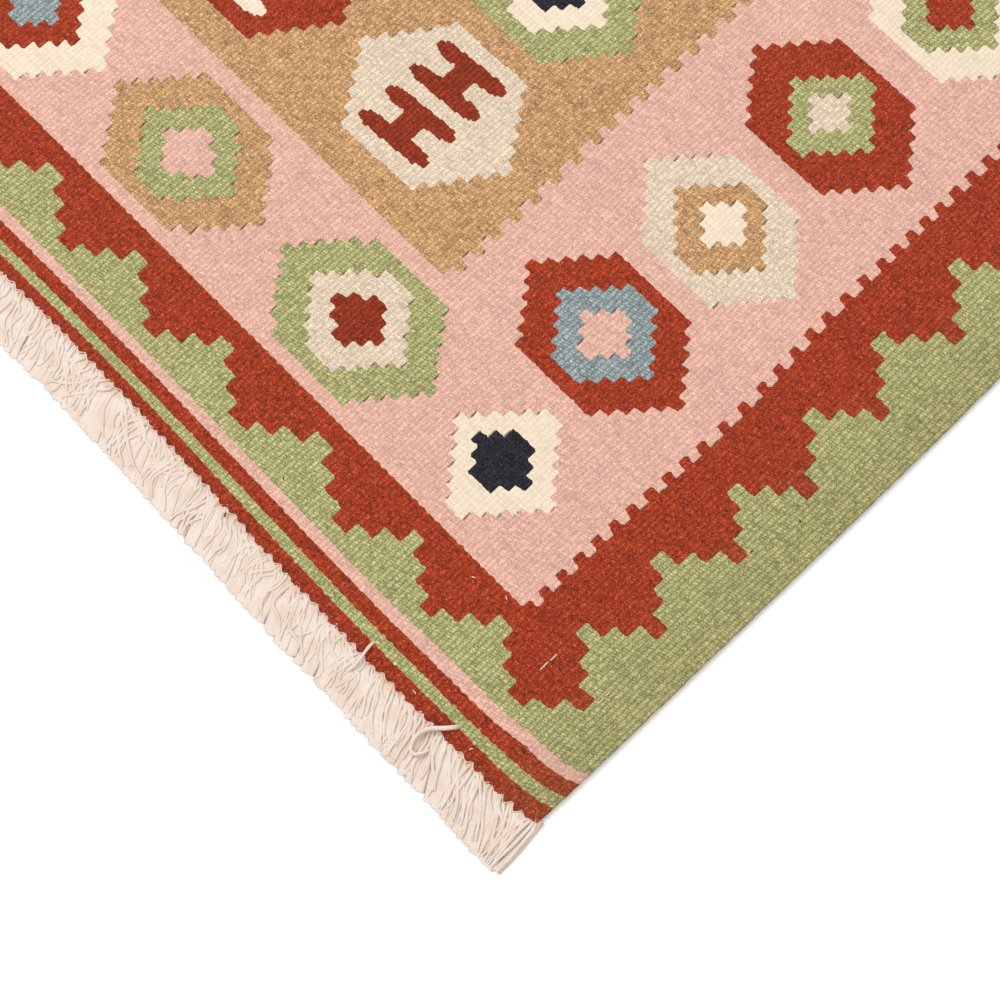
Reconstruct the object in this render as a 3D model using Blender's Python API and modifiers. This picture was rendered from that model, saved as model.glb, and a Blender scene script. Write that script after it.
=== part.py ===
"""A flat-woven wool rug of about 100 x 150 cm, lying flat, with a cotton warp fringe at both ends.

The cloth is one thin flat slab whose selvedges and woven ends wander by a few millimetres, as
hand-woven ones do. Beyond each woven end the warps leave the cloth as a row of loose tufts: they
grow from a narrow strip of knots and rest on the floor.

Frame: metres, +Z up. The rug is centred on the origin and its underside is at z = 0. The fringed
ends look along -Y and +Y. The far end and the left selvedge are laid out as the near end and the
right selvedge are, turned half round.
"""

import math
import random

import bmesh
import bpy

# Woven cloth
CLOTH_WIDTH = 0.974
CLOTH_LENGTH = 1.500
CLOTH_THICKNESS = 0.003
CLOTH_EDGE_ROUNDING = 0.0008
SIDE_POINTS = 40
END_POINTS = 44

# How far a selvedge bulges outwards, and a woven end creeps inwards, along its length
SELVEDGE_BULGE = 0.0015
SELVEDGE_WAVE = 0.550
SELVEDGE_WAVE_START = 0.050
END_BOW = 0.0022
END_BOW_WAVE = 0.800
END_RIPPLE = 0.0010
END_RIPPLE_WAVE = 0.360

# Strip of knots along a woven end
SEAM_GAP = 0.0003
KNOT_STRIP_DEPTH = 0.0030
KNOT_STRIP_HEIGHT = 0.0026

# Tufts of the fringe
TUFTS_PER_END = 126
TUFT_ROOT_SHARE = 0.66
TUFT_LENGTH = 0.0318
TUFT_LENGTH_SWING = 0.0024
TUFT_LENGTH_WAVE = 0.420
TUFT_LENGTH_SCATTER = 0.0012
TUFT_LEAN = 0.0090
TUFT_LEAN_START = 0.030
TUFT_LEAN_FADE = 0.150
TUFT_SWAY = 0.0020
TUFT_SWAY_WAVE = 0.120
TUFT_SCATTER = 0.0003
# Share of the length, of the sideways lean, width and height at each ring beyond the root
TUFT_RINGS = (
    {"along": 0.45, "lean": 0.40, "width": 0.0046, "height": 0.0030},
    {"along": 1.00, "lean": 1.00, "width": 0.0024, "height": 0.0016},
)

# Colour as linear RGB, and roughness
WOOL = ((0.60, 0.28, 0.20), 0.95)
COTTON = ((0.83, 0.68, 0.56), 0.90)


def swell(distance, wave_length):
    """Rises from 0 to 2 and falls back to 0 over each wave length."""
    return 1.0 - math.cos(2.0 * math.pi * distance / wave_length)


def selvedge_bulge(distance):
    """How far a selvedge stands out, at a distance along it from its first corner."""
    return SELVEDGE_BULGE * swell(distance - SELVEDGE_WAVE_START, SELVEDGE_WAVE)


def end_creep(distance):
    """How far a woven end lies inwards, at a distance along it from its first corner."""
    bow = END_BOW * swell(distance, END_BOW_WAVE)
    ripple = END_RIPPLE * swell(distance, END_RIPPLE_WAVE)
    return bow - ripple


def near_edge(distance):
    """The point of the near woven end at a distance from its right-hand corner."""
    right = CLOTH_WIDTH / 2 + selvedge_bulge(0.0)
    left = -CLOTH_WIDTH / 2 - selvedge_bulge(CLOTH_LENGTH)
    x = right + (left - right) * distance / CLOTH_WIDTH
    return x, -CLOTH_LENGTH / 2 + end_creep(distance)


def half_outline():
    """The near woven end from right to left, then the left selvedge up to the far end."""
    points = [near_edge(CLOTH_WIDTH * i / END_POINTS) for i in range(END_POINTS)]
    start_y = near_edge(CLOTH_WIDTH)[1]
    end_y = -near_edge(0.0)[1]
    for i in range(SIDE_POINTS):
        share = i / SIDE_POINTS
        bulge = selvedge_bulge(CLOTH_LENGTH * (1.0 - share))
        points.append((-CLOTH_WIDTH / 2 - bulge, start_y + (end_y - start_y) * share))
    return points


def make_material(name, finish):
    """A plain matte fibre."""
    colour, roughness = finish
    material = bpy.data.materials.new(name)
    material.use_nodes = True
    shader = material.node_tree.nodes["Principled BSDF"]
    shader.inputs["Base Color"].default_value = (*colour, 1.0)
    shader.inputs["Roughness"].default_value = roughness
    shader.inputs["Metallic"].default_value = 0.0
    return material


def add_object(name, data, material):
    """A named object of the rug, with its own material."""
    obj = bpy.data.objects.new(name, data)
    obj.data.materials.append(material)
    rug.objects.link(obj)
    return obj


def make_cloth():
    """The woven cloth: its outline filled, given its thickness and rounded at the edges."""
    half = half_outline()
    outline = half + [(-x, -y) for x, y in half]
    curve = bpy.data.curves.new("kilim_cloth", "CURVE")
    curve.dimensions = "2D"
    curve.fill_mode = "BOTH"
    curve.extrude = CLOTH_THICKNESS / 2
    spline = curve.splines.new("POLY")
    spline.points.add(len(outline) - 1)
    for point, (x, y) in zip(spline.points, outline):
        point.co = (x, y, 0.0, 1.0)
    spline.use_cyclic_u = True
    cloth = add_object("kilim_cloth", curve, make_material("woven_wool", WOOL))
    cloth.location.z = CLOTH_THICKNESS / 2
    weld = cloth.modifiers.new("close_edges", "WELD")
    weld.merge_threshold = 0.00001
    bevel = cloth.modifiers.new("round_edges", "BEVEL")
    bevel.width = CLOTH_EDGE_ROUNDING
    bevel.segments = 2
    bevel.limit_method = "ANGLE"
    bevel.angle_limit = math.radians(40)
    return cloth


def tuft_lean(distance):
    """Sideways lean of a tuft's tip: towards the corner near it, then swaying to and fro."""
    start = min(distance / TUFT_LEAN_START, 1.0)
    start = start * start * (3.0 - 2.0 * start)
    lean = TUFT_LEAN * start * math.exp(-distance / TUFT_LEAN_FADE)
    return lean + TUFT_SWAY * start * math.sin(2.0 * math.pi * distance / TUFT_SWAY_WAVE)


def make_knot_strip(mesh):
    """The strip of knots along the near end. Returns its outward faces that tufts grow from."""
    pitch = CLOTH_WIDTH / TUFTS_PER_END
    root = pitch * TUFT_ROOT_SHARE
    stations = [0.0]
    for i in range(TUFTS_PER_END):
        middle = pitch * (i + 0.5)
        stations += [middle - root / 2, middle + root / 2]
    stations.append(CLOTH_WIDTH)
    columns = []
    for distance in stations:
        x, y = near_edge(distance)
        y -= SEAM_GAP + KNOT_STRIP_DEPTH
        columns.append((mesh.verts.new((x, y, 0.0)), mesh.verts.new((x, y, KNOT_STRIP_HEIGHT))))
    outward = []
    for (low_a, high_a), (low_b, high_b) in zip(columns, columns[1:]):
        outward.append(mesh.faces.new((low_a, high_a, high_b, low_b)))
    grown = bmesh.ops.extrude_face_region(mesh, geom=outward, use_keep_orig=True)
    inner = [v for v in grown["geom"] if isinstance(v, bmesh.types.BMVert)]
    bmesh.ops.translate(mesh, verts=inner, vec=(0.0, KNOT_STRIP_DEPTH, 0.0))
    return outward[1::2]


def grow_tuft(mesh, root_face, distance, chance):
    """Draws one tuft out of its face of the strip: it tapers, leans and lies on the floor."""
    swing = TUFT_LENGTH_SWING * math.cos(2.0 * math.pi * distance / TUFT_LENGTH_WAVE)
    length = TUFT_LENGTH + swing + chance.uniform(-1.0, 1.0) * TUFT_LENGTH_SCATTER
    lean = tuft_lean(distance) + chance.uniform(-1.0, 1.0) * TUFT_SCATTER
    root_x, root_y = near_edge(distance)
    root_y -= SEAM_GAP + KNOT_STRIP_DEPTH
    face = root_face
    for ring in TUFT_RINGS:
        grown = bmesh.ops.extrude_discrete_faces(mesh, faces=[face])
        face = grown["faces"][0]
        middle_x = root_x + lean * ring["lean"]
        front_y = root_y - (length - KNOT_STRIP_DEPTH) * ring["along"]
        face_middle = face.calc_center_median()
        for corner in face.verts:
            side = 1.0 if corner.co.x > face_middle.x else -1.0
            above = corner.co.z > face_middle.z
            corner.co.x = middle_x + side * ring["width"] / 2
            corner.co.y = front_y
            corner.co.z = ring["height"] if above else 0.0


def make_fringe(name, seed):
    """The fringe of the near end: its strip of knots with all the tufts that grow from it."""
    chance = random.Random(seed)
    mesh = bmesh.new()
    root_faces = make_knot_strip(mesh)
    pitch = CLOTH_WIDTH / TUFTS_PER_END
    for i, face in enumerate(root_faces):
        grow_tuft(mesh, face, pitch * (i + 0.5), chance)
    bmesh.ops.recalc_face_normals(mesh, faces=mesh.faces)
    data = bpy.data.meshes.new(name)
    mesh.to_mesh(data)
    mesh.free()
    return add_object(name, data, make_material(name + "_cotton", COTTON))


for old in list(bpy.data.objects):
    bpy.data.objects.remove(old)

rug = bpy.data.collections.new("kilim_rug")
bpy.context.scene.collection.children.link(rug)

make_cloth()
make_fringe("fringe_near", seed=11)
far_fringe = make_fringe("fringe_far", seed=23)
far_fringe.rotation_euler.z = math.pi
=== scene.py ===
"""The looks of a flat-woven kilim rug of about 100 x 150 cm, lying flat with a fringe at both ends.

Lengths are in metres, and MM turns a size in millimetres into metres. Across is the distance from
the right selvedge, and along is the distance from the near woven end.
"""

import math

import bpy
import numpy as np
from mathutils import Matrix, Vector


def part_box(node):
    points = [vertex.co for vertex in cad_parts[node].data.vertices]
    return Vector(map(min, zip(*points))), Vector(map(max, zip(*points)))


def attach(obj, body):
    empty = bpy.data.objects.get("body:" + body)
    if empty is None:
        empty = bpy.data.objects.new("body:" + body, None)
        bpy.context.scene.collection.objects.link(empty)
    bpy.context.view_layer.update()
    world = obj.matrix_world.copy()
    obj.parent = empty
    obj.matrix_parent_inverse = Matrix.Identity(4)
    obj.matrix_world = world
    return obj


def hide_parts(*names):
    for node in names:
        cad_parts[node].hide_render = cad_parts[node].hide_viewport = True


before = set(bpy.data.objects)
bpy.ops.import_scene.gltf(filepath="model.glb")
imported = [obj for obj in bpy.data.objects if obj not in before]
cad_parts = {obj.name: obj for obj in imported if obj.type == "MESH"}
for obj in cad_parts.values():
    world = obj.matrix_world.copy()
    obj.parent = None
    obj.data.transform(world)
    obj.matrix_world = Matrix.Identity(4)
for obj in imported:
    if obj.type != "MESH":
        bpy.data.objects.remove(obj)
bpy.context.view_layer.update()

# ---- Woven cloth ---------------------------------------------------------------------------------
# One piece of weft-faced tapestry: wool wefts packed over cotton warps, which show as ribs 3.1 mm
# apart. Each colour turns back at its own edge, with short slits between ribs. It is woven from a
# chart of ribs by picks, and comes off the loom with its selvedges and ends a little uneven.
MM = 0.001
CLOTH_WIDTH = 974 * MM
CLOTH_LENGTH = 1500 * MM
CLOTH_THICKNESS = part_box("kilim_cloth")[1].z
RIBS = 314
PICKS = 1560
RIB = CLOTH_WIDTH / RIBS
PICK = CLOTH_LENGTH / PICKS

YARNS = ["pink", "red", "green", "camel", "ecru", "cream", "blue", "navy", "madder"]
chart = np.full((RIBS, PICKS), YARNS.index("green"), np.int8)


def ribs(millimetres):
    """The whole number of ribs nearest to a distance across the cloth."""
    return round(millimetres * MM / RIB)


def picks(millimetres):
    """The whole number of picks nearest to a distance along the cloth."""
    return round(millimetres * MM / PICK)


def weave(yarn, rib_from, rib_to, pick_from, pick_to):
    """Weaves one block of the chart in one yarn."""
    chart[rib_from:rib_to, pick_from:pick_to] = YARNS.index(yarn)


# The stepped red band inside a green edge. It turns at hollows and tips in turn, in millimetres
# from the corner. At a tip it comes nearest to the edge, and it recedes in three steps.
END_TURNS = [22, 59, 94, 128.5, 163, 199, 241, 284.5, 322, 360.5, 398.5, 433.5, 473.5]
END_TURNS += range(514, 974, 40)
END_STEPS = [39.5, 48.5, 57.5, 68.0]
SIDE_TURNS = [34, 65, 95, 125, 154, 188, 213, 244, 277, 307, 337, 372]
SIDE_TURNS += list(np.linspace(403, 1500 - 34, 35))
SIDE_STEPS = [26.5, 39.0, 51.0, 63.0]


def stepped_front(turns, steps, pitch, count):
    """How many ribs or picks in the red band starts, at each pick or rib along it."""
    middles = (np.arange(count) + 0.5) * pitch / MM
    turn = np.interp(middles, turns, np.arange(len(turns)))
    from_tip = np.abs(turn % 2 - 1)
    return np.array(steps)[np.floor(from_tip * 3 + 0.5).astype(int)]


end_front = stepped_front(END_TURNS, [picks(step) for step in END_STEPS], RIB, RIBS)
side_front = stepped_front(SIDE_TURNS, [ribs(step) for step in SIDE_STEPS], PICK, PICKS)
rib_numbers = np.arange(RIBS)
pick_numbers = np.arange(PICKS)
from_selvedge = np.minimum(rib_numbers, RIBS - 1 - rib_numbers)[:, None]
from_end = np.minimum(pick_numbers, PICKS - 1 - pick_numbers)[None, :]
red_band = (from_selvedge >= side_front[None, :]) & (from_end >= end_front[:, None])
chart[red_band] = YARNS.index("red")

# Plain stripes at both ends, from the fringe inwards, with their widths in millimetres.
stripe_start = 0
for stripe_yarn, stripe_width in (("red", 8.1), ("green", 7.1), ("red", 9.0), ("pink", 6.8)):
    stripe_stop = stripe_start + picks(stripe_width)
    weave(stripe_yarn, 0, RIBS, stripe_start, stripe_stop)
    weave(stripe_yarn, 0, RIBS, PICKS - stripe_stop, PICKS - stripe_start)
    stripe_start = stripe_stop


def weave_tabs(yarn, rib_from, rib_to, middles, tab_length):
    """Square tabs along both sides of a ground, each as long as the weaver's eye made it."""
    for middle in middles:
        start = picks(middle - tab_length / 2)
        stop = picks(middle + tab_length / 2)
        weave(yarn, rib_from, rib_to, start, stop)
        weave(yarn, RIBS - rib_to, RIBS - rib_from, start, stop)


# The pink ground of the border and the camel field. Tabs two ribs deep stand along their sides,
# some of them at a counted place and the rest spread evenly between.
TAB_DEPTH = 2
PINK_RIB = ribs(88)
PINK_PICK = picks(80.3)
CAMEL_RIB = ribs(267)
CAMEL_PICK = picks(185.6)
weave("pink", PINK_RIB, RIBS - PINK_RIB, PINK_PICK, PICKS - PINK_PICK)
weave("camel", CAMEL_RIB, RIBS - CAMEL_RIB, CAMEL_PICK, PICKS - CAMEL_PICK)
RED_TAB_PLACES = {-1: 83, 0: 95.7, 9: 219, 12: 269, 16: 326.8, 19: 374, 23: 423.5, 93: 1404.3, 94: 1417}
CAMEL_TAB_PLACES = {0: 196.5, 2: 226, 4: 258.5, 7: 311, 11: 363.5, 15: 425, 73: 1303.5}
for tab_yarn, tab_rib, tab_length, tab_places in (
        ("red", PINK_RIB, 6.8, RED_TAB_PLACES), ("camel", CAMEL_RIB - TAB_DEPTH, 7.0, CAMEL_TAB_PLACES)):
    tab_numbers = np.arange(min(tab_places), max(tab_places) + 1)
    tab_middles = np.interp(tab_numbers, list(tab_places), list(tab_places.values()))
    weave_tabs(tab_yarn, tab_rib, tab_rib + TAB_DEPTH, tab_middles, tab_length)


def weave_lozenge(yarn, across, along, rows, widest, height, slant=0.0, trim=0):
    """A stepped lozenge: each row away from its middle is two ribs shorter at either end."""
    for row in range(rows):
        width = widest - 4 * abs(row - rows // 2)
        if row in (0, rows - 1):
            width -= trim
        first = round(across * MM / RIB - width / 2)
        for rib in range(first, first + width):
            rise = slant * (rib * RIB / MM - across)
            start = picks(along + rise + height * (row / rows - 0.5))
            stop = picks(along + rise + height * ((row + 1) / rows - 0.5))
            weave(yarn, rib, rib + 1, start, stop)


def weave_hexagon(across, along, colours, height=84, widths=(41, 25, 13), trim=1, slant=0.0,
                  inner_shift=(0, 0), heart_rise=0):
    """A hexagon of three colours, one within the other, its widths in ribs and the rest in millimetres."""
    weave_lozenge(colours[0], across, along, 11, widths[0], height, slant, trim)
    across += inner_shift[0]
    along += inner_shift[1]
    if len(colours) > 1:
        weave_lozenge(colours[1], across, along, 9, widths[1], height * 0.78, slant, trim)
        weave_lozenge(colours[2], across, along + heart_rise, 5, widths[2], height * 0.42, slant, trim)


def weave_double_bar(yarn, across, along):
    """The figure of two bars joined by a stem, its bars 52 mm long, slanting a little."""
    half_bar = 8
    half_stem = 2
    bar_height = 11.0
    bar_offset = 11.0
    middle_rib = ribs(across)
    for side in (-1, 1):
        for i in range(-half_bar, half_bar + 1):
            middle = along + side * bar_offset - 0.075 * i * RIB / MM
            rounded = bar_height * (1 - 0.22 * max(abs(i) - half_bar + 2, 0))
            start = picks(middle - rounded / 2)
            weave(yarn, middle_rib + i, middle_rib + i + 1, start, start + picks(rounded))
    weave(yarn, middle_rib - half_stem, middle_rib + half_stem + 1,
          picks(along - bar_offset), picks(along + bar_offset))


# The border's motifs: a lozenge in each corner and a row of hexagons along each side.
WIDTH_MM = CLOTH_WIDTH / MM
LENGTH_MM = CLOTH_LENGTH / MM
BORDER_ALONG = 131.6
for lozenge_across in (160, WIDTH_MM - 160):
    for lozenge_along in (BORDER_ALONG, LENGTH_MM - BORDER_ALONG):
        weave_lozenge("cream", lozenge_across, lozenge_along, 11, 25, 80)
        weave_lozenge("navy", lozenge_across, lozenge_along, 5, 14, 36)
END_HEXAGONS = (
    (280, ("green", "ecru", "madder")),
    (427.3, ("camel", "green", "pink")),
    (565, ("cream", "red", "blue")),
    (693, ("green", "cream", "navy")),
)
for hexagon_across, hexagon_colours in END_HEXAGONS:
    weave_hexagon(hexagon_across, BORDER_ALONG, hexagon_colours)
    weave_hexagon(hexagon_across, LENGTH_MM - BORDER_ALONG, hexagon_colours)
SMALLER = {"widths": (40, 24, 12), "trim": 0}
SIDE_HEXAGONS = [
    {"across": 176.2, "along": 227.3, "colours": ("red", "blue", "pink"), "height": 82.5, **SMALLER},
    {"across": 173.2, "along": 322, "colours": ("ecru", "camel", "cream"), "height": 79,
     "widths": (39, 23, 11), "trim": 0, "heart_rise": 3.5},
    {"across": 175.8, "along": 420.7, "colours": ("red", "green", "ecru"), "height": 82,
     "widths": (41, 21, 10), "trim": 0, "inner_shift": (0.7, 1)},
]
SIDE_CYCLE = (
    ("cream", "green", "red"),
    ("camel", "ecru", "navy"),
    ("green", "red", "cream"),
    ("red", "blue", "pink"),
    ("ecru", "camel", "cream"),
)
for place, hexagon_along in enumerate(np.linspace(524.5, 1273, 9)):
    SIDE_HEXAGONS.append({"across": 174.5, "along": hexagon_along, "colours": SIDE_CYCLE[place % 5],
                          "height": 82, **SMALLER})
for side_hexagon in SIDE_HEXAGONS:
    weave_hexagon(**side_hexagon)
    mirrored = WIDTH_MM - side_hexagon["across"]
    weave_hexagon(**{**side_hexagon, "across": mirrored})

# The field: three columns of ten larger hexagons, some with two double bars in place of rings.
FIELD_ROWS = [{"along": 257, "height": 96, "rise": -1.3}, {"along": 366, "height": 89, "rise": 0}]
for field_along in np.linspace(477, 1243, 8):
    FIELD_ROWS.append({"along": field_along, "height": 94, "rise": 0})
FIELD_CYCLE = (
    (("ecru",), ("red",), ("ecru",)),
    (("green", "cream", "navy"), ("cream", "green", "red"), ("pink", "ecru", "red")),
    (("red", "pink", "navy"), ("ecru",), ("green", "cream", "red")),
    (("cream", "blue", "red"), ("green", "red", "cream"), ("pink", "red", "ecru")),
)
for row, field_row in enumerate(FIELD_ROWS):
    for column, colours in enumerate(FIELD_CYCLE[row % 4]):
        field_across = 348.5 + 139 * column + (3.5 if row % 2 else 0)
        field_along = field_row["along"] + 2 * field_row["rise"] * column
        bars = len(colours) == 1
        weave_hexagon(field_across, field_along, colours, field_row["height"], slant=-0.02 * bars, **SMALLER)
        if bars:
            bar_yarn = "cream" if colours == ("red",) else "madder"
            weave_double_bar(bar_yarn, field_across, field_along - 20.5)
            weave_double_bar(bar_yarn, field_across, field_along + 21.5)

# How the cloth came off the loom, in millimetres. The selvedges bulge and the ends creep in, as
# in the solid.


def swell(distance, wave):
    """Rises from 0 to 2 and falls back to 0 over each wave."""
    return 1 - np.cos(2 * np.pi * distance / wave)


def selvedge_bulge(along):
    return 1.5 * swell(along - 50, 550)


def end_creep(across):
    return 2.2 * swell(across, 800) - 1.0 * swell(across, 360)


def corner_lift(across, along):
    """The picks rise towards the selvedges, where they are packed tighter."""
    packed = 13 * (1 - np.exp(-along / 12)) / (1 + np.exp((along - 85) / 14))
    return packed * np.exp(-across / 22)


def loose_beat(across, along):
    """How much further along the picks of the stripes lie, where they were beaten less firmly."""
    risen = 0.7 * eased(along, 2, 9) + 1.4 * eased(along, 23, 31)
    risen = risen * (1 - eased(along, 34, 60)) * np.exp(-((across - 88) / 42) ** 2)
    near_corner = 2.2 * eased(along, 9, 24) * (1 - eased(along, 28, 48))
    return risen + near_corner * np.exp(-((across - 38) / 17) ** 2)


def eased(along, start, stop):
    """Rises smoothly from 0 to 1 between two places."""
    share = np.clip((along - start) / (stop - start), 0, 1)
    return share * share * (3 - 2 * share)


def waver(across, along):
    """The pattern leans a little to one side and then to the other as the work goes on."""
    lean = -2.5 * eased(along, 140, 230) + 4.8 * eased(along, 245, 345) - 2.3 * eased(along, 550, 750)
    return lean * (1 - np.exp(-across / 15)) / (1 + np.exp((across - 270) / 25))


def off_the_loom(across, along):
    """Where a point of the chart lies on the rug, both in metres."""
    x = across / MM
    y = along / MM
    far_x = WIDTH_MM - x
    far_y = LENGTH_MM - y
    out = selvedge_bulge(far_y) * np.exp(-far_x / 40) - selvedge_bulge(y) * np.exp(-x / 40)
    corner = 2.5 * (np.exp(-y / 30) + np.exp(-far_y / 30))
    inward = corner * (np.exp(-x / 12) - np.exp(-far_x / 12))
    creep = 1.15 * (end_creep(x) * np.exp(-y / 22) - end_creep(far_x) * np.exp(-far_y / 22))
    lift = corner_lift(x, y) + corner_lift(far_x, y) - corner_lift(x, far_y) - corner_lift(far_x, far_y)
    lift += (np.exp(-x / 8) + np.exp(-far_x / 8)) * 4.5 * (np.exp(-y / 5) - np.exp(-far_y / 5))
    lift += loose_beat(x, y) - loose_beat(far_x, far_y)
    return (x + out + inward + waver(x, y)) * MM, (y + creep + lift) * MM


def on_floor(across, along, height):
    """The same point in the rug's own frame."""
    moved_across, moved_along = off_the_loom(across, along)
    return CLOTH_WIDTH / 2 - moved_across, moved_along - CLOTH_LENGTH / 2, height


# The cloth's surface is laid up as lines along the ribs: a crest and a valley for each rib on the
# face, one line for every two ribs on the back, and rounded selvedges. Each line has a point
# wherever the colour beside it changes, and at even stations between.
EDGE_HEIGHT = 0.5 * CLOTH_THICKNESS
SHOULDER_HEIGHT = 0.84 * CLOTH_THICKNESS
SELVEDGE_INSET = 0.45 * MM
STATION_PICKS = 40
SELVEDGE_PICKS = 3
WEFT_STEP = 0.42
CORNER_ROUNDING = 0.9
GAPING_SHARE = {"light": 0.45, "dark": 0.3, "end": 0.8}
SLIT_PICKS = (4, 8)
DARK_YARNS = (YARNS.index("red"), YARNS.index("navy"), YARNS.index("madder"))
TUFTS_PER_END = 126
END_SCALLOP = 2.9 * MM
stations = np.unique(np.append(np.arange(0, PICKS, STATION_PICKS), PICKS))
selvedge_stations = np.unique(np.append(np.arange(0, PICKS, SELVEDGE_PICKS), PICKS))
turns_of = [np.flatnonzero(np.diff(chart[rib])) + 1 for rib in range(RIBS)]
turn_sets = [set(turns) for turns in turns_of]
chance = np.random.default_rng(7)


def gaping_slits(rib):
    """The first and last picks of the slits that gape between a rib and the one before it."""
    right, left = chart[rib - 1], chart[rib]
    open_at = np.append(right != left, False)
    edges = np.flatnonzero(np.diff(np.append(False, open_at)))
    slits = []
    for start, stop in zip(edges[0::2], edges[1::2]):
        if right[start] in DARK_YARNS or left[start] in DARK_YARNS:
            share = GAPING_SHARE["dark"]
        else:
            share = GAPING_SHARE["end" if min(start, PICKS - start) < CAMEL_PICK else "light"]
        if stop - start < SLIT_PICKS[0] or chance.uniform() > share:
            continue
        length = min(stop - start, chance.integers(*SLIT_PICKS))
        first = start + chance.integers(0, stop - start - length + 1)
        slits.append((first, first + length))
    return np.array(slits, int).reshape(-1, 2)


def line(kind, across, height, *stops, **more):
    """One line of points along the cloth, at the picks where it stops."""
    return {"kind": kind, "across": across, "height": height,
            "at": np.unique(np.concatenate(stops)).astype(int), **more}


slits_of = [gaping_slits(rib) if rib else np.empty((0, 2), int) for rib in range(RIBS)]
slits_of.append(np.empty((0, 2), int))


def corner_pull(rib, at):
    """How many picks each colour change is drawn in at a block's corner, beside the slit."""
    pull = np.zeros(len(at))
    for i, pick in enumerate(at):
        right_turns = pick in turn_sets[rib - 1]
        left_turns = pick in turn_sets[rib]
        if right_turns == left_turns:
            continue
        turning, steady = (rib - 1, rib) if right_turns else (rib, rib - 1)
        before = chart[turning, pick - 1] == chart[steady, pick]
        after = chart[turning, pick] == chart[steady, pick]
        pull[i] = CORNER_ROUNDING * (float(before) - float(after))
    crowded = np.diff(at) < 3
    pull[:-1][crowded] = 0
    pull[1:][crowded] = 0
    return pull


face_lines = [
    line("edge", 0.0, EDGE_HEIGHT, selvedge_stations),
    line("shoulder", SELVEDGE_INSET, SHOULDER_HEIGHT, selvedge_stations[::2], stations, turns_of[0])]
for rib in range(RIBS):
    if rib:
        slits = slits_of[rib]
        inside_slits = np.concatenate([slits[:, 0] + 1, slits[:, 1] - 1])
        valley = line("valley", rib * RIB, CLOTH_THICKNESS, stations, turns_of[rib - 1], turns_of[rib],
                      slits.ravel(), inside_slits, slits=inside_slits)
        valley["step"] = corner_pull(rib, valley["at"])
        face_lines.append(valley)
    face_lines.append(line("crest", (rib + 0.5) * RIB, CLOTH_THICKNESS, stations, turns_of[rib],
                           slits_of[rib].ravel(), slits_of[rib + 1].ravel(),
                           step=WEFT_STEP * (1 if rib % 2 else -1)))
face_lines += [
    line("shoulder", CLOTH_WIDTH - SELVEDGE_INSET, SHOULDER_HEIGHT, selvedge_stations[::2], stations,
         turns_of[-1]),
    line("edge", CLOTH_WIDTH, EDGE_HEIGHT, selvedge_stations)]
back_lines = []
for rib in (RIBS - 0.4, *range(RIBS - 2, 1, -2), 0.4):
    beside = [turns_of[min(max(int(rib) + side, 0), RIBS - 1)] for side in (-2, 0)]
    back_lines.append(line("back", rib * RIB, 0.0, stations, *beside))


tooth_lengths = chance.uniform(0.25, 1.3, TUFTS_PER_END + 1)


def end_sag(across):
    """How far the last picks hang out, most of all between two tufts, and every tooth by its own length."""
    tuft_place = across / CLOTH_WIDTH * TUFTS_PER_END
    tooth = tooth_lengths[np.clip(np.round(tuft_place), 0, TUFTS_PER_END).astype(int)]
    wave = np.cos(2 * np.pi * tuft_place)
    return END_SCALLOP * (0.15 + 0.5 * wave * np.where(wave > 0, tooth, 1.0))


lines = face_lines + back_lines
points = []
weave_uv = []
slit_marks = []
valley_marks = []
for laid in lines:
    at = laid["at"].astype(float)
    inner = (at > 0) & (at < PICKS)
    uneven = chance.uniform(-0.5, 1.8, len(at)) if laid["kind"] == "crest" else 1.0
    at += np.where(inner, laid.get("step", 0.0) * uneven, 0.0)
    open_here = np.isin(laid["at"], laid.get("slits", ()))
    slit = np.zeros(len(at))
    slit[open_here] = chance.uniform(0.5, 1.0, open_here.sum())
    across = np.full(len(at), laid["across"])
    if laid["kind"] == "edge":
        across += chance.uniform(-0.22, 0.22, len(at)) * MM
    hangs_out = np.where(laid["at"] == PICKS, 1.0, 0.0) - np.where(laid["at"] == 0, 1.0, 0.0)
    x, y, z = on_floor(across, at * PICK + hangs_out * end_sag(across), np.full(len(at), laid["height"]))
    laid["first"] = sum(len(earlier) for earlier in points)
    points.append(np.stack([x, y, z], axis=1))
    weave_uv.append(np.stack([np.full(len(at), laid["across"] / RIB), at], axis=1))
    slit_marks.append(slit)
    valley_marks.append(np.full(len(at), laid["kind"] == "valley"))

faces = []
face_yarns = []


def lay_strip(left_line, right_line, colours):
    """Fills the strip between two lines: quads where both have a point, and triangles between."""
    a, b = left_line["at"], right_line["at"]
    first_a, first_b = left_line["first"], right_line["first"]
    i = j = 0
    while i < len(a) - 1 or j < len(b) - 1:
        next_a = a[i + 1] if i < len(a) - 1 else PICKS + 1
        next_b = b[j + 1] if j < len(b) - 1 else PICKS + 1
        yarn = colours[max(a[i], b[j])]
        if next_a == next_b:
            faces.append((first_a + i, first_a + i + 1, first_b + j + 1, first_b + j))
            i, j = i + 1, j + 1
        elif next_a < next_b:
            faces.append((first_a + i, first_a + i + 1, first_b + j))
            i += 1
        else:
            faces.append((first_a + i, first_b + j + 1, first_b + j))
            j += 1
        face_yarns.append(yarn)


for this_line, next_line in zip(lines, lines[1:] + lines[:1]):
    middle_rib = int((this_line["across"] + next_line["across"]) / 2 / RIB)
    lay_strip(this_line, next_line, chart[min(max(middle_rib, 0), RIBS - 1)])

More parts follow.
